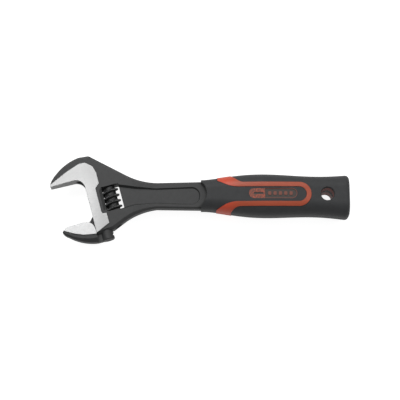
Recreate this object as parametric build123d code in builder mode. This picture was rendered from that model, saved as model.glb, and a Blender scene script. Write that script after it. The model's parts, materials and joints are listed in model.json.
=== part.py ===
from build123d import *
import os
from math import cos, radians, sin, tan

os.makedirs("parts", exist_ok=True)

# Driving dimensions in millimetres. +X runs from the head to the butt, +Z is up off the bench.
HEAD_ANGLE = 15.0
KNURL_CENTRE = (-60.4, -2.3)

# Head
FACE_HALF = 5.9  # ground faces of the jaws
FORGED_HALF = 5.4  # forged skin around the ground faces
TIP_HALF = 4.1  # jaw thickness at the tips
HEAD_BEVEL = 2.4
HEAD_SLOPE = 36.0
JAW_SLOPE = 50.0
JAW_LEVEL = 18.2  # fixed contact face above the knurl centre
OPENING = 29.8
THROAT = -15.3
JAW_REACH = 22.7
THROAT_ROUND = 6.8
STRIP_EDGE = -8.75  # right edge of the ground strip beside the window

# Slide, rack and knurl
SLIDE_AXIS = -8.8
SLIDE_RADIUS = 4.4
BORE_RADIUS = 4.5
BORE_TOP = 28.2
SLIDE_TOP = -1.7
SLIDE_END = -27.1
SLIDE_CHAMFER = 1.3
WEB_HALF = 2.4
SLOT_HALF = 2.6
RAMP = 2.6
PITCH = 4.0
KNURL_RADIUS = 6.05
ROOT_RADIUS = 4.15
KNURL_HALF = 8.25
CREST = 0.9
FLANK = 20.0
THREAD_SUNK = 0.5
MESH_CLEAR = 0.15
WINDOW_HALF = 8.7
WINDOW_LEFT = -4.85
WINDOW_RIGHT = 6.95
BEVEL_FLOOR = 4.3
BEVEL_SLOPE = 63.0
RELIEF_RADIUS = 6.25  # clearance for the thread in the throat-side wall of the window

# Axle and spring
PIN_RADIUS = 1.6
KNURL_BORE = 1.65
PIN_HEAD_RADIUS = 2.6
PIN_HEAD = 2.2
PIN_TOP = 14.5
PIN_SEAT = 15.2
SPRING_WIRE = 0.5
SPRING_RADIUS = 2.25
SPRING_POCKET = 2.75
POCKET_DEPTH = 4.0

# Shank and tang
SHANK_HALF = 4.4
PANEL_HALF = 3.3
PANEL_DRAFT = 2.4
NECK_TOP = 8.45
NECK_LOW = 9.25
TANG_HALF = 2.5
TANG_WIDTH = 14.0
TANG_START = 8.0
TANG_END = 96.0

# Grip stations from collar to butt: place, width, thickness, side shift, corner radius
COLLAR = (0.6, 21.0, 18.4, -0.05, 7.0)
FLARE = (20.0, 25.2, 21.8, 0.1, 8.2)
SWELL = (47.0, 29.0, 24.0, -0.2, 9.3)
WAIST = (76.0, 27.0, 23.2, -0.65, 9.0)
PALM = (88.0, 27.7, 23.5, -0.95, 9.2)
BUTT = (101.4, 29.9, 24.8, -1.3, 9.6)
BUTT_ROUND = 2.6
COVER = 2.2
COLLAR_STEP = 4.0
RIB_PROUD = 0.3
RIB_CENTRE = -1.0
RIB_LEG = 6.7
RIB_HALF = 1.6
RIB_TURN = 67.0
RIB_START = 34.0
SCALLOP_RADIUS = 10.4
HANG_HOLE = (86.2, -0.95)
HANG_RADIUS = 4.4
HOLE_WALL = 11.2
PLATE_AT = (49.4, -0.6)
PLATE_LENGTH = 32.6
PLATE_WIDTH = 7.0
PLATE_FLOOR = 10.6
PLATE_BASE = 0.8
RING = 0.4


def head_point(u, v):
    """A point given along the jaw faces and along the slide, in handle coordinates."""
    c, s = cos(radians(HEAD_ANGLE)), sin(radians(HEAD_ANGLE))
    return (KNURL_CENTRE[0] + u * c - v * s, KNURL_CENTRE[1] + u * s + v * c)


def head_plane(z=0.0):
    """Plane of the head: local x along the jaw faces, local y along the slide, closing."""
    c, s = cos(radians(HEAD_ANGLE)), sin(radians(HEAD_ANGLE))
    return Plane(origin=(*KNURL_CENTRE, z), x_dir=(c, s, 0), z_dir=(0, 0, 1))


def slide_plane(u, v):
    """Plane square to the slide at height v: local x along the jaw faces, normal closing."""
    c, s = cos(radians(HEAD_ANGLE)), sin(radians(HEAD_ANGLE))
    return Plane(origin=(*head_point(u, v), 0), x_dir=(c, s, 0), z_dir=(-s, c, 0))


MOVING_LEVEL = JAW_LEVEL - OPENING
TIP = THROAT - JAW_REACH

# ---------------------------------------------------------------- grip envelope


def grip_envelope(grow):
    """The grip's outer form, grown or shrunk by one amount all round."""
    with BuildPart() as form:
        for x, width, thick, shift, corner in (COLLAR, FLARE, SWELL, WAIST, PALM, BUTT):
            start = -COLLAR_STEP * grow if x == COLLAR[0] else 0.0
            finish = grow if x == BUTT[0] else 0.0
            place = (x + start + finish, shift, 0)
            with BuildSketch(Plane(origin=place, x_dir=(0, 1, 0), z_dir=(1, 0, 0))):
                RectangleRounded(width + 2 * grow, thick + 2 * grow, corner + grow)
        loft()
        fillet(form.faces().sort_by(Axis.X)[-1].edges(), BUTT_ROUND + grow)
    return form.part


# ---------------------------------------------------------------- body


def blank_outline():
    """Head, neck and shank in one outline, before the jaw opening is cut."""
    with BuildSketch() as blank:
        with BuildLine():
            tip_low = head_point(TIP - 0.2, -24.0)
            tip_high = head_point(TIP - 0.2, 20.0)
            back_low = head_point(-32.6, 26.0)
            back_high = head_point(-15.0, 33.6)
            apex = head_point(-8.0, 33.0)
            heel = head_point(-3.2, -21.2)
            Line(tip_low, heel)
            Line(heel, (-50.4, -17.6))
            ThreePointArc((-50.4, -17.6), (-41.2, -12.4), (-29.5, -NECK_LOW))
            Line((-29.5, -NECK_LOW), (14.0, -NECK_LOW - 0.6))
            Line((14.0, -NECK_LOW - 0.6), (14.0, NECK_TOP + 1.0))
            Line((14.0, NECK_TOP + 1.0), (-29.0, NECK_TOP))
            ThreePointArc((-29.0, NECK_TOP), (-38.4, 9.5), (-50.4, 13.8))
            Line((-50.4, 13.8), apex)
            Line(apex, back_high)
            ThreePointArc(back_high, head_point(-24.6, 30.95), back_low)
            ThreePointArc(back_low, head_point(-35.9, 23.1), tip_high)
            Line(tip_high, tip_low)
        make_face()
        fillet(blank.vertices().sort_by(Axis.Y)[-1], 2.4)
    return blank.sketch


def ground_outline():
    """The raised faces that are ground bright: fixed jaw, throat strip and lower pad."""
    with BuildSketch() as ground:
        with BuildLine():
            Polyline(
                head_point(TIP - 0.3, 17.0),
                head_point(THROAT - THROAT_ROUND - 1.0, 17.0),
                head_point(THROAT - THROAT_ROUND - 1.0, 10.0),
                head_point(THROAT - 0.2, 10.0),
                head_point(THROAT - 0.2, -21.2),
                head_point(-5.5, -16.7),
                head_point(-5.5, -9.5),
                head_point(STRIP_EDGE + 0.6, -9.2),
                head_point(STRIP_EDGE, -7.4),
                head_point(STRIP_EDGE, 9.0),
                head_point(-5.7, 11.8),
                head_point(-5.6, 19.4),
                head_point(-7.0, 24.6),
                head_point(-11.4, 28.3),
                head_point(-15.4, 28.6),
                head_point(-25.0, 25.5),
                head_point(TIP - 0.3, 19.6),
                close=True,
            )
        make_face()
        fillet([v for v in ground.vertices() if v.Y > 18.0], 2.0)
    return ground.sketch


def jaw_opening():
    """The space between the fixed jaw and the lower end of the head, with a round throat."""
    with BuildSketch(head_plane()) as gap:
        with BuildLine():
            Polyline(
                (TIP - 20.0, JAW_LEVEL),
                (TIP - 20.0, -60.0),
                (THROAT, -60.0),
                (THROAT, JAW_LEVEL),
                close=True,
            )
        make_face()
        corner = [v for v in gap.vertices() if v.Y > 0 and v.X > -90]
        fillet(corner, THROAT_ROUND)
    return gap.sketch


def tip_taper(half):
    """Wedges that thin a jaw evenly from full thickness at the throat to its tip."""
    with BuildPart() as wedges:
        for side in (1, -1):
            with BuildSketch(slide_plane(0, 0)):
                with BuildLine():
                    Polyline(
                        (THROAT, side * half),
                        (TIP - 4.0, side * (half - (FACE_HALF - TIP_HALF) * (JAW_REACH + 4.0) / JAW_REACH)),
                        (TIP - 4.0, side * 14.0),
                        (THROAT, side * 14.0),
                        close=True,
                    )
                make_face()
        extrude(amount=60.0, both=True)
    return wedges.part


def shank_panel():
    """Recess in one face of the shank, running into the window, with sloping walls."""
    with BuildPart() as recess:
        with BuildSketch(Plane.XY.offset(PANEL_HALF)) as floor:
            with BuildLine():
                Polyline(
                    head_point(5.0, -8.3),
                    (-44.0, -6.3),
                    (-30.0, -5.5),
                    (-0.6, -6.4),
                    (-0.6, 4.9),
                    (-30.0, 3.7),
                    (-44.0, 4.3),
                    head_point(5.0, 7.2),
                    close=True,
                )
            make_face()
            fillet([v for v in floor.vertices() if -50.0 < v.X < -10.0], 8.0)
            fillet([v for v in floor.vertices() if v.X > -1.0], 5.0)
        extrude(amount=PANEL_DRAFT, taper=-30)
        mirror(about=Plane.XY)
    return recess.part


def window_bevel():
    """Sloping edges above and to the throat side of the window, on both faces."""
    with BuildPart() as bevel:
        with BuildSketch(head_plane(BEVEL_FLOOR)):
            with BuildLine():
                Polyline(
                    (WINDOW_LEFT + 0.8, 6.7),
                    (WINDOW_LEFT, 5.7),
                    (WINDOW_LEFT, -5.5),
                    (4.0, -5.5),
                    (4.0, 5.2),
                    close=True,
                )
            make_face()
        extrude(amount=3.0, taper=-BEVEL_SLOPE)
        mirror(about=Plane.XY)
    return bevel.part


with BuildPart() as body:
    # Forged blank with bevelled rims, thinned toward the jaw tips and along the shank.
    with BuildSketch():
        add(blank_outline())
    extrude(amount=FORGED_HALF - HEAD_BEVEL)
    with BuildSketch(Plane.XY.offset(FORGED_HALF - HEAD_BEVEL)):
        add(blank_outline())
    extrude(amount=HEAD_BEVEL, taper=HEAD_SLOPE)
    mirror(about=Plane.XY)
    add(tip_taper(FORGED_HALF), mode=Mode.SUBTRACT)
    for side in (1, -1):
        with BuildSketch(Plane.XZ):
            with BuildLine():
                Polyline(
                    (-46.0, side * 9.0),
                    (-46.0, side * FORGED_HALF),
                    (-32.0, side * SHANK_HALF),
                    (20.0, side * SHANK_HALF),
                    (20.0, side * 9.0),
                    close=True,
                )
            make_face()
        extrude(amount=30.0, both=True, mode=Mode.SUBTRACT)
    add(shank_panel(), mode=Mode.SUBTRACT)

    # Ground faces, then the jaw opening with its round throat.
    with BuildSketch():
        add(ground_outline())
    extrude(amount=FACE_HALF, both=True)
    add(tip_taper(FACE_HALF), mode=Mode.SUBTRACT)
    with BuildSketch():
        add(jaw_opening())
    extrude(amount=12.0, both=True, mode=Mode.SUBTRACT)

    # Window for the knurl.
    with BuildSketch(head_plane()):
        with Locations(((WINDOW_LEFT + WINDOW_RIGHT) / 2, 0)):
            RectangleRounded(WINDOW_RIGHT - WINDOW_LEFT, 2 * WINDOW_HALF, 0.6)
    extrude(amount=12.0, both=True, mode=Mode.SUBTRACT)
    add(window_bevel(), mode=Mode.SUBTRACT)
    with BuildSketch(slide_plane(0, -KNURL_HALF - 0.3)):
        Circle(RELIEF_RADIUS)
    extrude(amount=2 * KNURL_HALF + 0.6, mode=Mode.SUBTRACT)

    # Blind bore for the slide, and the slot its web runs in.
    with BuildPart(mode=Mode.PRIVATE) as bore:
        with BuildSketch(slide_plane(SLIDE_AXIS, -40.0)):
            Circle(BORE_RADIUS)
        extrude(amount=40.0 + BORE_TOP)
        chamfer(bore.edges().filter_by(GeomType.CIRCLE).sort_by(Axis.Y)[-1], SLIDE_CHAMFER)
    add(bore.part, mode=Mode.SUBTRACT)
    with BuildSketch(head_plane()):
        with BuildLine():
            Polyline(
                (TIP, -40.0),
                (SLIDE_AXIS, -40.0),
                (SLIDE_AXIS, JAW_LEVEL + RAMP + 0.3),
                (THROAT - 0.4, JAW_LEVEL + RAMP + 0.3),
                (THROAT - RAMP, JAW_LEVEL),
                (TIP, JAW_LEVEL),
                close=True,
            )
        make_face()
    extrude(amount=SLOT_HALF, both=True, mode=Mode.SUBTRACT)

    # Axle hole through the lower lug, across the window and blind into the head.
    with BuildSketch(slide_plane(0, -30.0)):
        Circle(PIN_RADIUS)
    extrude(amount=30.0 + PIN_TOP, mode=Mode.SUBTRACT)
    with BuildSketch(slide_plane(0, -30.0)):
        Circle(PIN_HEAD_RADIUS)
    extrude(amount=30.0 - PIN_SEAT, mode=Mode.SUBTRACT)

    # Tang inside the grip, with the eye for hanging.
    with BuildSketch():
        with Locations(((TANG_START + TANG_END) / 2, HANG_HOLE[1] / 2)):
            RectangleRounded(TANG_END - TANG_START, TANG_WIDTH, 3.0)
    extrude(amount=TANG_HALF, both=True)
    with BuildSketch():
        with Locations(HANG_HOLE):
            Circle(HANG_RADIUS)
    extrude(amount=20.0, both=True, mode=Mode.SUBTRACT)

# ---------------------------------------------------------------- moving jaw


def screw_thread(bottom, top, root, tip, crest):
    """A right-hand thread on the Z axis, its crests passing the X axis every pitch."""
    sunk = root - THREAD_SUNK
    depth = tip - sunk
    base = crest + 2 * depth * tan(radians(FLANK))
    with BuildPart() as thread:
        with BuildLine():
            Helix(pitch=PITCH, height=top - bottom, radius=sunk, center=(0, 0, bottom))
        profile = Plane(origin=(sunk, 0, bottom), x_dir=(1, 0, 0), z_dir=(0, 1, 0))
        with BuildSketch(profile):
            with BuildLine():
                Polyline(
                    (0.0, -base / 2),
                    (depth, -crest / 2),
                    (depth, crest / 2),
                    (0.0, base / 2),
                    close=True,
                )
            make_face()
        sweep(is_frenet=True)
    return thread.part


def jaw_blank():
    """Outline of the moving jaw's back, carried past its contact face and its heel."""
    with BuildSketch() as blank:
        with BuildLine():
            nose = head_point(TIP - 0.2, -13.2)
            chin = head_point(-34.4, -18.3)
            keel = head_point(-18.0, -26.7)
            foot = head_point(-8.0, -27.9)
            Line(head_point(TIP - 0.2, -2.0), nose)
            ThreePointArc(nose, head_point(-37.1, -15.8), chin)
            ThreePointArc(chin, head_point(-26.8, -23.6), keel)
            Line(keel, foot)
            Line(foot, head_point(-8.0, -2.0))
            Line(head_point(-8.0, -2.0), head_point(TIP - 0.2, -2.0))
        make_face()
    return blank.sketch


with BuildPart() as movable_jaw:
    # Forged hook with bevelled back, then its ground face.
    with BuildSketch():
        add(jaw_blank())
    extrude(amount=FORGED_HALF - HEAD_BEVEL)
    with BuildSketch(Plane.XY.offset(FORGED_HALF - HEAD_BEVEL)):
        add(jaw_blank())
    extrude(amount=HEAD_BEVEL, taper=JAW_SLOPE)
    mirror(about=Plane.XY)
    add(tip_taper(FORGED_HALF), mode=Mode.SUBTRACT)
    with BuildSketch():
        with BuildLine():
            Polyline(
                head_point(TIP - 0.1, -12.8),
                head_point(-31.0, -17.2),
                head_point(-24.0, -20.2),
                head_point(-14.0, -22.0),
                head_point(-14.0, -8.0),
                head_point(TIP - 0.1, -8.0),
                close=True,
            )
        make_face()
    extrude(amount=FACE_HALF, both=True)
    add(tip_taper(FACE_HALF), mode=Mode.SUBTRACT)
    with BuildSketch(head_plane()) as hook:
        with BuildLine():
            Polyline(
                (TIP - 1.0, MOVING_LEVEL),
                (TIP - 1.0, -40.0),
                (THROAT - 0.2, -40.0),
                (THROAT - 0.2, MOVING_LEVEL),
                close=True,
            )
        make_face()
        fillet([v for v in hook.vertices() if v.Y > -25 and v.X > -80], THROAT_ROUND + 0.3)
    extrude(amount=12.0, both=True, mode=Mode.INTERSECT)

    # Web through the slot, slide in the bore and the rack cut to the knurl's own thread.
    with BuildSketch(head_plane()):
        with BuildLine():
            Polyline(
                (THROAT - 1.0, SLIDE_END),
                (SLIDE_AXIS, SLIDE_END),
                (SLIDE_AXIS, MOVING_LEVEL + RAMP),
                (THROAT - 0.2, MOVING_LEVEL + RAMP),
                (THROAT - RAMP, MOVING_LEVEL - 0.2),
                (THROAT - 5.5, MOVING_LEVEL - 0.2),
                (THROAT - 5.5, SLIDE_END + 2.0),
                close=True,
            )
        make_face()
    extrude(amount=WEB_HALF, both=True)
    with BuildPart(mode=Mode.PRIVATE) as slide:
        with BuildSketch(slide_plane(SLIDE_AXIS, SLIDE_END)):
            Circle(SLIDE_RADIUS)
        extrude(amount=SLIDE_TOP - SLIDE_END)
        ends = slide.edges().filter_by(GeomType.CIRCLE).sort_by(Axis.Y)
        chamfer(ends[-1], SLIDE_CHAMFER)
        chamfer(ends[0], 0.5)
    add(slide.part)
    rack_cutter = screw_thread(
        -30.0, 2.0, ROOT_RADIUS, KNURL_RADIUS + MESH_CLEAR, CREST + 2 * MESH_CLEAR
    )
    add(rack_cutter.moved(slide_plane(0, 0).location), mode=Mode.SUBTRACT)

# ---------------------------------------------------------------- knurl, axle, spring

with BuildPart() as knurl_form:
    Cylinder(ROOT_RADIUS, 2 * KNURL_HALF)
    add(screw_thread(-10.0, 10.0, ROOT_RADIUS, KNURL_RADIUS, CREST))
    Cylinder(KNURL_RADIUS, 2 * KNURL_HALF, mode=Mode.INTERSECT)
    Cylinder(KNURL_BORE, 2 * KNURL_HALF, mode=Mode.SUBTRACT)
    with Locations((0, 0, KNURL_HALF)):
        pocket_align = (Align.CENTER, Align.CENTER, Align.MAX)
        Cylinder(SPRING_POCKET, POCKET_DEPTH, align=pocket_align, mode=Mode.SUBTRACT)

with BuildPart() as adjusting_knurl:
    add(knurl_form.part.moved(slide_plane(0, 0).location))

with BuildPart() as knurl_pin:
    with BuildSketch(slide_plane(0, -PIN_SEAT)):
        Circle(PIN_RADIUS)
    extrude(amount=PIN_SEAT + PIN_TOP)
    with BuildSketch(slide_plane(0, -PIN_SEAT - PIN_HEAD)):
        Circle(PIN_HEAD_RADIUS)
    extrude(amount=PIN_HEAD)
    with BuildSketch(slide_plane(0, -PIN_SEAT - PIN_HEAD)):
        Rectangle(0.8, 2 * PIN_HEAD_RADIUS)
    extrude(amount=1.0, mode=Mode.SUBTRACT)

with BuildPart() as spring_form:
    with BuildLine():
        low = KNURL_HALF - POCKET_DEPTH + SPRING_WIRE / 2 + 0.1
        high = WINDOW_HALF - SPRING_WIRE / 2
        Helix(pitch=(high - low) / 4, height=high - low, radius=SPRING_RADIUS, center=(0, 0, low))
    wire_end = Plane(origin=(SPRING_RADIUS, 0, low), x_dir=(1, 0, 0), z_dir=(0, 1, 0))
    with BuildSketch(wire_end):
        Circle(SPRING_WIRE / 2)
    sweep(is_frenet=True)

with BuildPart() as knurl_spring:
    add(spring_form.part.moved(slide_plane(0, 0).location))

# ---------------------------------------------------------------- grip


def rib_outline():
    """The U on each face and the arms that flare out and wrap round the sides."""
    with BuildSketch() as rib:
        outer, inner = RIB_LEG + RIB_HALF, RIB_LEG - RIB_HALF
        with Locations((RIB_TURN, RIB_CENTRE)):
            Circle(outer)
        with Locations(((RIB_START + RIB_TURN) / 2, RIB_CENTRE)):
            Rectangle(RIB_TURN - RIB_START, 2 * outer)
        with Locations((RIB_TURN, RIB_CENTRE)):
            Circle(inner, mode=Mode.SUBTRACT)
        with Locations(((RIB_START + RIB_TURN) / 2 - 5.0, RIB_CENTRE)):
            Rectangle(RIB_TURN - RIB_START + 10.0, 2 * inner, mode=Mode.SUBTRACT)
        # Upper arm, then lower arm: each leaves its leg in a gentle bend and crosses the side.
        for side, crook, tip, elbow, brow in (
            (1, 21.6, (11.8, 8.6), 27.4, (20.8, 12.4)),
            (-1, 20.6, (11.0, -11.1), 24.6, (20.2, -13.4)),
        ):
            with BuildSketch() as arm:
                with BuildLine():
                    Polyline(
                        (RIB_START, RIB_CENTRE + side * inner),
                        (crook, RIB_CENTRE + side * inner),
                        tip,
                        (tip[0] - 0.8, side * 22.0),
                        (brow[0] - 0.8, side * 22.0),
                        brow,
                        (elbow, RIB_CENTRE + side * outer),
                        (RIB_START, RIB_CENTRE + side * outer),
                        close=True,
                    )
                make_face()
                for x, reach, radius in ((crook, inner, 22.0), (elbow, outer, 7.0)):
                    y = RIB_CENTRE + side * reach
                    bends = arm.vertices().sort_by(lambda v: abs(v.X - x) + abs(v.Y - y))
                    fillet(bends[0], radius)
    return rib.sketch


def hole_and_scallop():
    """What is cut from the whole grip: the hanging hole and the arc ahead of the collar."""
    with BuildPart() as cut:
        with BuildSketch():
            with Locations(HANG_HOLE):
                Circle(HANG_RADIUS)
            with Locations((COLLAR[0] + 4.2 - SCALLOP_RADIUS, 0)):
                Circle(SCALLOP_RADIUS)
        extrude(amount=30.0, both=True)
        with BuildSketch(Plane.XY.offset(HOLE_WALL)):
            with Locations(HANG_HOLE):
                Circle(HANG_RADIUS)
        extrude(amount=2.0, taper=-45)
        mirror(about=Plane.XY)
    return cut.part


with BuildPart() as name_plate:
    with BuildSketch(Plane.XY.offset(PLATE_FLOOR)):
        with Locations(PLATE_AT):
            SlotOverall(PLATE_LENGTH, PLATE_WIDTH)
    extrude(amount=PLATE_BASE)
    with BuildSketch(Plane.XY.offset(PLATE_FLOOR + PLATE_BASE)):
        with Locations(PLATE_AT):
            SlotOverall(PLATE_LENGTH, PLATE_WIDTH)
            SlotOverall(PLATE_LENGTH - 2 * RING, PLATE_WIDTH - 2 * RING, mode=Mode.SUBTRACT)
        with BuildSketch() as block:
            with Locations(PLATE_AT):
                SlotOverall(PLATE_LENGTH - 2 * RING, PLATE_WIDTH - 2 * RING)
            with Locations((PLATE_AT[0] - PLATE_LENGTH / 3, PLATE_AT[1])):
                Rectangle(PLATE_LENGTH / 3, PLATE_WIDTH, mode=Mode.INTERSECT)
            with Locations((PLATE_AT[0] - 9.9, PLATE_AT[1])):
                SlotOverall(6.6, 1.5, mode=Mode.SUBTRACT)
        with Locations((PLATE_AT[0] + 4.9, PLATE_AT[1])):
            with GridLocations(3.6, 1.0, 5, 1):
                RectangleRounded(2.2, 2.6, 0.7)
    extrude(amount=0.4)

with BuildPart() as grip_core:
    add(grip_envelope(-COVER))
    with BuildPart(mode=Mode.PRIVATE) as ribs:
        with BuildSketch():
            add(rib_outline())
        extrude(amount=30.0, both=True)
        add(grip_envelope(RIB_PROUD), mode=Mode.INTERSECT)
    add(ribs.part)
    add(hole_and_scallop(), mode=Mode.SUBTRACT)
    add(body.part, mode=Mode.SUBTRACT)

with BuildPart() as covers:
    add(grip_envelope(0.0))
    add(grip_envelope(-COVER), mode=Mode.SUBTRACT)
    with BuildSketch():
        add(rib_outline())
    extrude(amount=30.0, both=True, mode=Mode.SUBTRACT)
    add(hole_and_scallop(), mode=Mode.SUBTRACT)
    add(body.part, mode=Mode.SUBTRACT)
    with BuildSketch(Plane.XY.offset(PLATE_FLOOR)):
        with Locations(PLATE_AT):
            SlotOverall(PLATE_LENGTH, PLATE_WIDTH)
    extrude(amount=10.0, mode=Mode.SUBTRACT)

with BuildPart() as grip_front_cover:
    add(covers.solids().sort_by(Axis.X)[0])

with BuildPart() as grip_rear_cover:
    add(covers.solids().sort_by(Axis.X)[1:])

# ---------------------------------------------------------------- placing and export

pieces = {
    "body": body,
    "movable_jaw": movable_jaw,
    "adjusting_knurl": adjusting_knurl,
    "knurl_pin": knurl_pin,
    "knurl_spring": knurl_spring,
    "name_plate": name_plate,
    "grip_core": grip_core,
    "grip_front_cover": grip_front_cover,
    "grip_rear_cover": grip_rear_cover,
}
boxes = [piece.part.bounding_box() for piece in pieces.values()]
middle_x = (min(box.min.X for box in boxes) + max(box.max.X for box in boxes)) / 2
middle_y = (min(box.min.Y for box in boxes) + max(box.max.Y for box in boxes)) / 2
bench = min(box.min.Z for box in boxes)

for name, piece in pieces.items():
    with BuildPart() as placed:
        add(piece.part.moved(Location((-middle_x, -middle_y, -bench))))
    placed.part.label = name
    export_step(placed.part, "parts/" + name + ".step")
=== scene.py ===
import json
import math

import bmesh
import bpy
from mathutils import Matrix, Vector


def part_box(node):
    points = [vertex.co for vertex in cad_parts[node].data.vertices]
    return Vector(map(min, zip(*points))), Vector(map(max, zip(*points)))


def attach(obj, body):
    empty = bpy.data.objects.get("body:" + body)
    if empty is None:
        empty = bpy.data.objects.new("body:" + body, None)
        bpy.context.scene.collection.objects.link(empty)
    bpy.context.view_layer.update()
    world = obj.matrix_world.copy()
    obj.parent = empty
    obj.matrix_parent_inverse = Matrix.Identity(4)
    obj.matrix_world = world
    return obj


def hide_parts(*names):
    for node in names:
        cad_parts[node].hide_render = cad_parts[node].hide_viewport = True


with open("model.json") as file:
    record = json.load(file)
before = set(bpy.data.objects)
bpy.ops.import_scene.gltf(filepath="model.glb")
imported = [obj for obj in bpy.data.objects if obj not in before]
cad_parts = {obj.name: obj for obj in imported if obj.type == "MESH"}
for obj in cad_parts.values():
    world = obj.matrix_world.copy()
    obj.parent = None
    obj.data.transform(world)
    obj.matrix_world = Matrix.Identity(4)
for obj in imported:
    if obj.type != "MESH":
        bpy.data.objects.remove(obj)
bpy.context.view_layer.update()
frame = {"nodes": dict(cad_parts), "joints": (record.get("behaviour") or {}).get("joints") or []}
nodes = frame["nodes"]
MM = 0.001

# ---------------------------------------------------------------- directions and levels of the head
joints = {joint["name"]: joint for joint in frame["joints"]}
CLOSING = Vector(joints["jaw_slide"]["axis"]).normalized()
ACROSS = Vector((CLOSING.y, -CLOSING.x, 0.0))
KNURL = Vector(joints["knurl_spin"]["pos_m"])
THROAT = -15.3 * MM
REACH = 22.7 * MM
FACE_HALF = 5.9 * MM
TIP_HALF = 4.1 * MM
FIXED_LEVEL = 18.2 * MM
MOVING_LEVEL = -11.6 * MM


# ---------------------------------------------------------------- node helpers
class Shader:
    """A material being built: short calls for the nodes this scene needs."""

    def __init__(self, name):
        self.material = bpy.data.materials.new(name)
        self.material.use_nodes = True
        self.tree = self.material.node_tree
        self.surface = self.tree.nodes["Principled BSDF"]

    def put(self, socket, value):
        if isinstance(value, bpy.types.NodeSocket):
            self.tree.links.new(value, socket)
        elif isinstance(value, (int, float)) and hasattr(socket.default_value, "__len__"):
            socket.default_value = [value] * len(socket.default_value)
        else:
            socket.default_value = value

    def node(self, kind, **settings):
        made = self.tree.nodes.new(kind)
        for key, value in settings.items():
            setattr(made, key, value)
        return made

    def math(self, operation, a, b=0.0):
        made = self.node("ShaderNodeMath", operation=operation)
        for socket, value in zip(made.inputs, (a, b)):
            self.put(socket, value)
        return made.outputs[0]

    def vector(self, operation, a, b=(0.0, 0.0, 0.0)):
        made = self.node("ShaderNodeVectorMath", operation=operation)
        self.put(made.inputs[0], a)
        self.put(made.inputs[1], b)
        return made.outputs["Value"] if operation in ("DOT_PRODUCT", "LENGTH") else made.outputs[0]

    def coord(self, which="Object"):
        return self.node("ShaderNodeTexCoord").outputs[which]

    def along(self, direction, origin):
        """Distance of the shaded point along a direction, from an origin, in metres."""
        point = self.vector("SUBTRACT", self.coord(), tuple(origin))
        return self.vector("DOT_PRODUCT", point, tuple(direction))

    def facing(self, direction):
        """How squarely the surface faces a direction, from -1 to 1."""
        return self.vector("DOT_PRODUCT", self.coord("Normal"), tuple(direction))

    def step(self, value, low, high):
        """0 below low, 1 above high, smooth between; low above high runs the other way."""
        made = self.node("ShaderNodeMapRange", interpolation_type="SMOOTHSTEP")
        self.put(made.inputs["Value"], value)
        self.put(made.inputs["From Min"], low)
        self.put(made.inputs["From Max"], high)
        return made.outputs["Result"]

    def spread(self, value, low, high):
        """A 0 to 1 value moved to a range."""
        made = self.node("ShaderNodeMapRange")
        self.put(made.inputs["Value"], value)
        self.put(made.inputs["To Min"], low)
        self.put(made.inputs["To Max"], high)
        return made.outputs["Result"]

    def noise(self, size, detail=3.0, stretch=(1.0, 1.0, 1.0), turn=0.0, rough=0.5):
        """Noise whose grains are about one size across, in metres, stretched along turned axes."""
        mapping = self.node("ShaderNodeMapping")
        self.put(mapping.inputs["Vector"], self.coord())
        self.put(mapping.inputs["Rotation"], (0.0, 0.0, turn))
        turned = self.node("ShaderNodeMapping")
        self.put(turned.inputs["Vector"], mapping.outputs[0])
        self.put(turned.inputs["Scale"], tuple(1.0 / (size * s) for s in stretch))
        made = self.node("ShaderNodeTexNoise")
        self.put(made.inputs["Vector"], turned.outputs[0])
        self.put(made.inputs["Scale"], 1.0)
        self.put(made.inputs["Detail"], detail)
        self.put(made.inputs["Roughness"], rough)
        return made.outputs["Fac"]

    def mix(self, factor, a, b):
        """Colour mix of a and b."""
        made = self.node("ShaderNodeMix", data_type="RGBA")
        self.put(made.inputs["Factor"], factor)
        for name, value in (("A", a), ("B", b)):
            socket = [s for s in made.inputs if s.name == name and s.type == "RGBA"][0]
            self.put(socket, value)
        return [s for s in made.outputs if s.type == "RGBA"][0]

    def blend(self, factor, a, b):
        """Plain number mix of a and b."""
        made = self.node("ShaderNodeMix", data_type="FLOAT")
        for name, value in (("Factor", factor), ("A", a), ("B", b)):
            socket = [s for s in made.inputs if s.name == name and s.type == "VALUE"][0]
            self.put(socket, value)
        return [s for s in made.outputs if s.type == "VALUE"][0]

    def bump(self, height, strength, distance, normal=None):
        made = self.node("ShaderNodeBump")
        self.put(made.inputs["Height"], height)
        self.put(made.inputs["Strength"], strength)
        self.put(made.inputs["Distance"], distance)
        if normal is not None:
            self.put(made.inputs["Normal"], normal)
        return made.outputs[0]

    def rounded(self, radius):
        made = self.node("ShaderNodeBevel", samples=6)
        self.put(made.inputs["Radius"], radius)
        return made.outputs[0]

    def edges(self, radius, low=0.02, high=0.12):
        """1 on sharp outer and inner edges within a radius, 0 on flats."""
        plain = self.node("ShaderNodeNewGeometry").outputs["Normal"]
        square = self.vector("DOT_PRODUCT", self.rounded(radius), plain)
        return self.step(self.math("SUBTRACT", 1.0, square), low, high)

    def finish(self, **sockets):
        for name, value in sockets.items():
            self.put(self.surface.inputs[name.replace("_", " ")], value)
        return self.material


def grey(value, warm=0.0):
    return (value * (1 + warm), value, value * (1 - warm), 1.0)


# ---------------------------------------------------------------- materials
SHADE_CENTRE = KNURL + Vector((54.8, 2.3, 0.0)) * MM
SHADE_INNER = 8.7 * MM
SHADE_OUTER = 9.7 * MM


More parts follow.
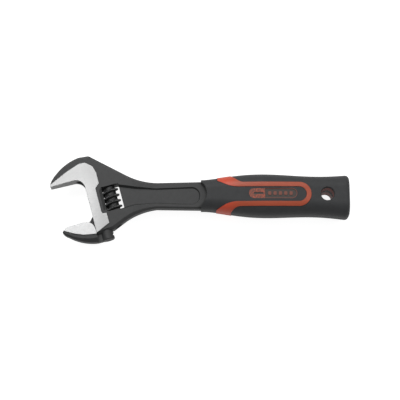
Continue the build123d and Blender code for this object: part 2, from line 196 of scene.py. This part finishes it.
def forged(name, contact_direction, contact_level, painted_light_gain):
    """Black forging whose raised faces are ground bright and whose contact face is machined."""
    s = Shader(name)
    u = s.along(ACROSS, KNURL)
    v = s.along(CLOSING, KNURL)
    depth = s.math("ABSOLUTE", s.along((0, 0, 1), KNURL))

    # The ground level falls evenly from the throat to the jaw tips.
    past = s.math("MAXIMUM", s.math("SUBTRACT", THROAT, u), 0.0)
    level = s.math("SUBTRACT", FACE_HALF, s.math("MULTIPLY", past, (FACE_HALF - TIP_HALF) / REACH))
    flat = s.step(s.math("ABSOLUTE", s.facing((0, 0, 1))), 0.90, 0.97)
    wander = s.math("MULTIPLY", s.math("SUBTRACT", s.noise(1.3 * MM, 2.0), 0.5), 0.10 * MM)
    lift = s.math("ADD", s.math("SUBTRACT", depth, level), wander)
    ground = s.math("MULTIPLY", s.step(lift, -0.16 * MM, -0.08 * MM), flat)

    # Machined contact face, dark again toward the unground throat round.
    square = s.step(s.facing(contact_direction), 0.90, 0.97)
    near = s.step(s.math("ABSOLUTE", s.math("SUBTRACT", v, contact_level)), 0.5 * MM, 0.2 * MM)
    contact = s.math("MULTIPLY", square, near)

    # Colour of the forging skin, then of the ground faces and the machined contact face.
    skin = s.mix(s.noise(3.0 * MM, 4.0), grey(0.020, -0.02), grey(0.036, -0.02))
    skin = s.mix(s.spread(s.noise(0.5 * MM, 2.0), 0.0, 0.5), skin, grey(0.030, -0.03))
    cloud = s.noise(7.0 * MM, 3.0)
    scratch = s.noise(0.28 * MM, 4.0, (14.0, 1.0, 1.0), math.radians(-62), 0.65)
    cross = s.noise(0.22 * MM, 3.0, (18.0, 1.0, 1.0), math.radians(-12), 0.6)
    lines = s.math("ADD", s.math("MULTIPLY", scratch, 0.6), s.math("MULTIPLY", cross, 0.4))
    bright = s.mix(s.spread(lines, -0.3, 1.2), grey(0.30 * painted_light_gain), grey(0.56 * painted_light_gain))
    bright = s.mix(s.spread(cloud, -0.3, 0.7), bright, grey(0.42 * painted_light_gain, -0.01))
    # Painted shade: the ground faces are darkened past the throat strip and toward the top of the head,
    # copying weaker reflections there.
    bright = s.mix(s.math("MULTIPLY", s.step(u, -15.0 * MM, -8.0 * MM), 0.55), bright, grey(0.33))
    bright = s.mix(s.math("MULTIPLY", s.step(v, 6.0 * MM, 24.0 * MM), 0.70), bright, grey(0.30))
    broach = s.noise(0.16 * MM, 2.0, (1.0, 1.0, 40.0), 0.0, 0.6)
    machined = s.mix(broach, grey(0.15), grey(0.26))

    # Painted shade: the sloping edge on the throat side of the window is darkened as a shaded recess.
    shaded_recess = s.math("MULTIPLY", s.step(u, -10.6 * MM, -9.0 * MM), s.step(depth, 5.38 * MM, 5.28 * MM))
    abreast = s.step(s.math("ABSOLUTE", v), 12.0 * MM, 10.0 * MM)
    beside = s.math("MULTIPLY", s.step(u, 8.0 * MM, 6.5 * MM), abreast)
    skin = s.mix(s.math("MULTIPLY", s.math("MULTIPLY", shaded_recess, beside), 0.65), skin, grey(0.008))

    # Painted shadow: a dark arc on the shank, in the gap beside the collar's scallop.
    reach = s.vector("SUBTRACT", s.coord(), tuple(SHADE_CENTRE))
    reach = s.vector("LENGTH", s.vector("MULTIPLY", reach, (1.0, 1.0, 0.0)))
    shade = s.math("MULTIPLY", s.step(reach, SHADE_INNER, SHADE_OUTER), s.step(u, 54.5 * MM, 57.0 * MM))
    skin = s.mix(s.math("MULTIPLY", shade, 0.9), skin, grey(0.004))
    colour = s.mix(ground, skin, bright)
    colour = s.mix(contact, colour, machined)

    # Chipped skin along the rims.
    rim = s.math("MULTIPLY", s.edges(0.35 * MM), s.math("SUBTRACT", 1.0, ground))
    chips = s.step(s.noise(0.9 * MM, 3.0), 0.52, 0.72)
    colour = s.mix(s.math("MULTIPLY", s.math("MULTIPLY", rim, chips), 0.30), colour, grey(0.26))

    metal = s.math("MAXIMUM", ground, contact)
    roughness = s.blend(ground, s.spread(s.noise(1.1 * MM, 3.0), 0.42, 0.60), s.spread(lines, 0.22, 0.46))
    roughness = s.blend(contact, roughness, s.spread(broach, 0.28, 0.48))

    # Relief: forging skin, grinding lines, softened edges.
    peel = s.blend(0.4, s.noise(0.55 * MM, 3.0), s.noise(2.6 * MM, 2.0))
    normal = s.rounded(0.30 * MM)
    normal = s.bump(s.math("MULTIPLY", peel, s.math("SUBTRACT", 1.0, metal)), 0.55, 0.05 * MM, normal)
    normal = s.bump(s.math("MULTIPLY", lines, ground), 0.30, 0.015 * MM, normal)
    normal = s.bump(s.math("MULTIPLY", broach, contact), 0.35, 0.015 * MM, normal)
    s.surface.inputs["Specular IOR Level"].default_value = 0.45
    return s.finish(Base_Color=colour, Metallic=metal, Roughness=roughness, Normal=normal)


def knurl_steel():
    """Blackened worm: serrated, with lighter patches on the crests."""
    s = Shader("knurl_black_oxide")
    local = s.vector("SUBTRACT", s.coord(), tuple(KNURL))
    x = s.vector("DOT_PRODUCT", local, tuple(ACROSS))
    z = s.vector("DOT_PRODUCT", local, (0, 0, 1))
    radius = s.math("SQRT", s.math("ADD", s.math("MULTIPLY", x, x), s.math("MULTIPLY", z, z)))
    teeth = s.step(radius, 5.80 * MM, 6.02 * MM)
    patch = s.step(s.noise(0.8 * MM, 3.0), 0.35, 0.75)
    colour = s.mix(s.noise(1.2 * MM, 3.0), grey(0.030, -0.02), grey(0.048, -0.02))
    colour = s.mix(s.math("MULTIPLY", s.math("MULTIPLY", teeth, patch), 0.55), colour, grey(0.20))
    normal = s.bump(s.noise(0.25 * MM, 3.0), 0.3, 0.03 * MM, s.rounded(0.10 * MM))
    s.surface.inputs["Metallic"].default_value = 0.55
    return s.finish(Base_Color=colour, Roughness=s.spread(patch, 0.38, 0.55), Normal=normal)


def plated_steel(name, low, high, turn):
    """Small turned or drawn steel parts, with fine marks along one direction."""
    s = Shader(name)
    marks = s.noise(0.12 * MM, 3.0, (10.0, 1.0, 1.0), turn, 0.6)
    blotch = s.noise(1.5 * MM, 2.0)
    colour = s.mix(s.spread(marks, 0.1, 0.9), grey(low), grey(high))
    colour = s.mix(s.math("MULTIPLY", blotch, 0.4), colour, grey(low, 0.06))
    normal = s.bump(marks, 0.3, 0.02 * MM, s.rounded(0.12 * MM))
    s.surface.inputs["Metallic"].default_value = 0.9
    return s.finish(Base_Color=colour, Roughness=s.spread(blotch, 0.28, 0.48), Normal=normal)


def soft_black(name):
    """Moulded soft-touch rubber: fine grain, faint mottling, slightly cool."""
    s = Shader(name)
    grain = s.noise(0.22 * MM, 2.0, rough=0.7)
    mottle = s.noise(5.0 * MM, 3.0)
    colour = s.mix(mottle, (0.024, 0.025, 0.026, 1), (0.036, 0.037, 0.039, 1))
    colour = s.mix(s.math("MULTIPLY", s.edges(0.35 * MM), 0.5), colour, (0.020, 0.020, 0.021, 1))
    roughness = s.spread(s.noise(0.8 * MM, 2.0), 0.52, 0.72)
    normal = s.bump(grain, 0.5, 0.035 * MM, s.rounded(0.3 * MM))
    s.surface.inputs["Specular IOR Level"].default_value = 0.35
    s.surface.inputs["Sheen Weight"].default_value = 0.08
    return s.finish(Base_Color=colour, Roughness=roughness, Normal=normal)


ORANGE = (0.385, 0.069, 0.029, 1.0)
ORANGE_DEEP = (0.335, 0.060, 0.025, 1.0)
ORANGE_NEAR_COLLAR = (0.56, 0.068, 0.030, 1.0)


def hard_orange():
    """Hard moulded orange plastic with a fine spark-eroded texture, brighter toward the collar."""
    s = Shader("core_orange")
    mottle = s.noise(4.0 * MM, 3.0)
    colour = s.mix(mottle, ORANGE, ORANGE_DEEP)
    colour = s.mix(s.step(s.along((1, 0, 0), KNURL), 90.0 * MM, 76.0 * MM), colour, ORANGE_NEAR_COLLAR)
    colour = s.mix(s.math("MULTIPLY", s.edges(0.25 * MM), 0.45), colour, (0.22, 0.03, 0.015, 1))
    roughness = s.spread(s.noise(0.7 * MM, 2.0), 0.36, 0.52)
    normal = s.bump(s.noise(0.18 * MM, 2.0), 0.35, 0.02 * MM, s.rounded(0.22 * MM))
    s.surface.inputs["Specular IOR Level"].default_value = 0.4
    return s.finish(Base_Color=colour, Roughness=roughness, Normal=normal)


def badge():
    """The blank pill plate: black field, raised parts orange and rubbed dark."""
    s = Shader("plate_two_tone")
    low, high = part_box("name_plate")
    raised = s.step(s.along((0, 0, 1), (0, 0, low.z)), 0.9 * MM, 1.0 * MM)
    orange = s.mix(s.noise(1.0 * MM, 2.0), ORANGE, ORANGE_DEEP)
    plain = s.step(s.along((1, 0, 0), (low.x, 0, 0)), 11.4 * MM, 11.9 * MM)
    orange = s.mix(s.math("MULTIPLY", plain, 0.7), orange, (0.085, 0.040, 0.028, 1))
    worn = s.math("MULTIPLY", s.step(s.noise(0.7 * MM, 2.0), 0.36, 0.56), 0.75)
    worn = s.math("MULTIPLY", worn, s.math("SUBTRACT", 1.0, plain))
    orange = s.mix(worn, orange, (0.060, 0.032, 0.024, 1))
    field = s.mix(s.noise(1.0 * MM, 2.0), (0.036, 0.028, 0.025, 1), (0.056, 0.042, 0.036, 1))
    colour = s.mix(raised, field, orange)
    roughness = s.blend(raised, 0.6, s.spread(s.noise(0.6 * MM, 2.0), 0.36, 0.5))
    normal = s.bump(s.noise(0.18 * MM, 2.0), 0.3, 0.02 * MM, s.rounded(0.12 * MM))
    return s.finish(Base_Color=colour, Roughness=roughness, Normal=normal)


looks = {
    # Painted highlight: the last argument brightens each part's ground faces, more on the moving jaw, in
    # place of its stronger reflection of the key light.
    "body": forged("forging_fixed", tuple(-CLOSING), FIXED_LEVEL, 1.03),
    "movable_jaw": forged("forging_moving", tuple(CLOSING), MOVING_LEVEL, 1.28),
    "adjusting_knurl": knurl_steel(),
    "knurl_pin": plated_steel("pin_zinc", 0.30, 0.50, 0.3),
    "knurl_spring": plated_steel("spring_wire", 0.35, 0.60, 1.1),
    "name_plate": badge(),
    "grip_core": hard_orange(),
    "grip_front_cover": soft_black("soft_black_front"),
    "grip_rear_cover": soft_black("soft_black_rear"),
}
for name, material in looks.items():
    mesh = nodes[name].data
    mesh.materials.clear()
    mesh.materials.append(material)

# ---------------------------------------------------------------- serrated worm, in millimetres
PITCH = 4.0
CREST_RADIUS = 6.05
ROOT_RADIUS = 4.15
CREST_HALF = 0.45
FLANK = math.tan(math.radians(20.0))
WORM_HALF = 8.25
WORM_BORE = 1.65
POCKET_RADIUS = 2.75
POCKET_FLOOR = 4.25
TEETH = 36
PER_TOOTH = 6
COLUMNS = TEETH * PER_TOOTH
LAND = 0.4  # share of each tooth left at full height
NOTCH = 0.32
MID_FLANK = 0.8
FOOT = CREST_HALF + (CREST_RADIUS - ROOT_RADIUS) * FLANK
ROWS = (-FOOT, -MID_FLANK, -CREST_HALF, 0.0, CREST_HALF, MID_FLANK, FOOT)
TURNS = range(-3, 4)
MERGE = 0.002
SLIVER = 0.001
SHARP = math.radians(28.0)


def worm_radius(along, turn):
    """Radius of the serrated thread at a height and an angle, in millimetres."""
    offset = (along + PITCH / 2 - PITCH * turn / math.tau) % PITCH
    offset = min(offset, PITCH - offset)
    plain = min(CREST_RADIUS, max(ROOT_RADIUS, CREST_RADIUS - (offset - CREST_HALF) / FLANK))
    phase = abs((turn * TEETH / math.tau) % 1.0 - 0.5) * 2
    notch = max(0.0, (phase - LAND) / (1 - LAND))
    return plain - NOTCH * notch * (plain - ROOT_RADIUS) / (CREST_RADIUS - ROOT_RADIUS)


def worm_mesh():
    """The worm as one closed mesh: serrated thread, end faces, spring pocket and bore."""
    points = []
    faces = []
    per_column = len(ROWS) * len(TURNS)
    for i in range(COLUMNS):
        turn = math.tau * i / COLUMNS
        rows = [PITCH * (k + turn / math.tau) - PITCH / 2 + row for k in TURNS for row in ROWS]
        rows = [max(-WORM_HALF, min(WORM_HALF, along)) for along in rows]
        rings = [(along, worm_radius(along, turn)) for along in rows]
        rings += [(WORM_HALF, POCKET_RADIUS), (POCKET_FLOOR, POCKET_RADIUS), (POCKET_FLOOR, WORM_BORE)]
        rings += [(-WORM_HALF, WORM_BORE)]
        for along, radius in rings:
            flat = ACROSS * math.cos(turn) - Vector((0, 0, 1)) * math.sin(turn)
            points.append(KNURL + (flat * radius + CLOSING * along) * MM)
    stride = per_column + 4
    for i in range(COLUMNS):
        last = i == COLUMNS - 1
        here = i * stride
        there = 0 if last else here + stride
        shift = len(ROWS) if last else 0
        for j in range(per_column - 1):
            low = min(j + shift, per_column - 1)
            high = min(j + 1 + shift, per_column - 1)
            faces.append((here + j, there + low, there + high, here + j + 1))
        for j in range(per_column - 1, stride - 1):
            faces.append((here + j, there + j, there + j + 1, here + j + 1))
        faces.append((here + stride - 1, there + stride - 1, there, here))
    shape = bmesh.new()
    corners = [shape.verts.new(point) for point in points]
    for face in faces:
        if len(set(face)) == 4:
            shape.faces.new([corners[index] for index in face])
    bmesh.ops.remove_doubles(shape, verts=shape.verts, dist=MERGE * MM)
    bmesh.ops.dissolve_degenerate(shape, edges=shape.edges, dist=SLIVER * MM)
    bmesh.ops.recalc_face_normals(shape, faces=shape.faces)
    mesh = bpy.data.meshes.new("worm_serrated")
    shape.to_mesh(mesh)
    shape.free()
    mesh.shade_smooth()
    mesh.set_sharp_from_angle(angle=SHARP)
    return mesh


worm = bpy.data.objects.new("worm_serrated", worm_mesh())
worm.data.materials.append(looks["adjusting_knurl"])
bpy.context.scene.collection.objects.link(worm)
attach(worm, "knurl")
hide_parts("adjusting_knurl")

# ---------------------------------------------------------------- floor, light, camera
FLOOR_HALF = 3.0
FLOOR_GLOW = 0.44  # what the floor gives off onto the object
FLOOR_WHITE = 0.90  # what the camera sees of it
WORLD_LIGHT = 0.30
LENS = 118.5
SENSOR = 36.0
TILT = math.radians(13.0)
DISTANCE = 0.9

floor_mesh = bpy.data.meshes.new("floor")
corners = [(x * FLOOR_HALF, y * FLOOR_HALF, 0) for x, y in ((-1, -1), (1, -1), (1, 1), (-1, 1))]
floor_mesh.from_pydata(corners, [], [(0, 1, 2, 3)])
floor = bpy.data.objects.new("floor", floor_mesh)
bpy.context.scene.collection.objects.link(floor)
paper = Shader("floor_paper")
tone = paper.mix(paper.noise(0.4, 2.0), grey(0.34), grey(0.36))
lit = paper.spread(paper.node("ShaderNodeLightPath").outputs["Is Camera Ray"], FLOOR_GLOW, FLOOR_WHITE)
paper.put(paper.surface.inputs["Emission Strength"], lit)
paper.surface.inputs["Emission Color"].default_value = (1, 1, 1, 1)
floor.data.materials.append(paper.finish(Base_Color=tone, Roughness=0.9))

target = KNURL + Vector((60.4, -0.42, 0.0)) * MM


def area_light(name, place, size, power):
    """A soft rectangular light turned to the middle of the view."""
    data = bpy.data.lights.new(name, "AREA")
    data.shape = "RECTANGLE"
    data.size, data.size_y = size
    data.energy = power
    lamp = bpy.data.objects.new(name, data)
    lamp.location = place
    lamp.rotation_euler = (target - Vector(place)).to_track_quat("-Z", "Y").to_euler()
    bpy.context.scene.collection.objects.link(lamp)


area_light("key", (-0.35, 0.75, 1.1), (0.9, 0.9), 13.0)
area_light("fill", (0.8, 0.2, 1.0), (1.0, 1.0), 4.0)

world = bpy.data.worlds.new("studio")
world.use_nodes = True
world.node_tree.nodes["Background"].inputs["Color"].default_value = (1, 1, 1, 1)
world.node_tree.nodes["Background"].inputs["Strength"].default_value = WORLD_LIGHT
bpy.context.scene.world = world

lens = bpy.data.cameras.new("camera")
lens.lens = LENS
lens.sensor_width = SENSOR
camera = bpy.data.objects.new("camera", lens)
back = Vector((0, -math.sin(TILT), math.cos(TILT)))
camera.location = target + back * DISTANCE
camera.rotation_mode = "QUATERNION"
camera.rotation_quaternion = (-back).to_track_quat("-Z", "Y")
bpy.context.scene.collection.objects.link(camera)
bpy.context.scene.camera = camera
bpy.context.scene.view_settings.view_transform = "Standard"
